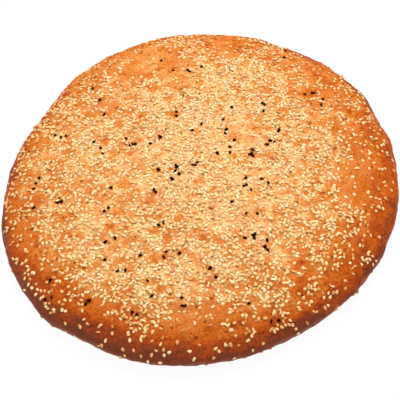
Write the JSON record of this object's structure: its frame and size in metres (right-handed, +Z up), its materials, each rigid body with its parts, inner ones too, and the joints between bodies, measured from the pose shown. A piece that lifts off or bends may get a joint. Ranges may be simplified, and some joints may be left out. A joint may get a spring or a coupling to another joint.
{
  "type": "flatbread",
  "caption": "Round leavened flatbread: a low domed loaf with a browned rounded rim, a flat base, and sesame and nigella seeds baked on to its crust.",
  "frame": {"origin": "on the table, under the middle of the loaf's plan", "axes": "+Z up out of the crown, +Y away from the viewer of the picture, +X to that viewer's right"},
  "size_m": [0.2846, 0.2964, 0.0387],
  "materials": {
    "crust": "baked golden brown, darker at the rim, faintly glossy",
    "sesame": "cream, lightly toasted, satin",
    "nigella": "black, dull"
  },
  "bodies": {
    "root": {"flatbread": "crust"}
  },
  "joints": []
}
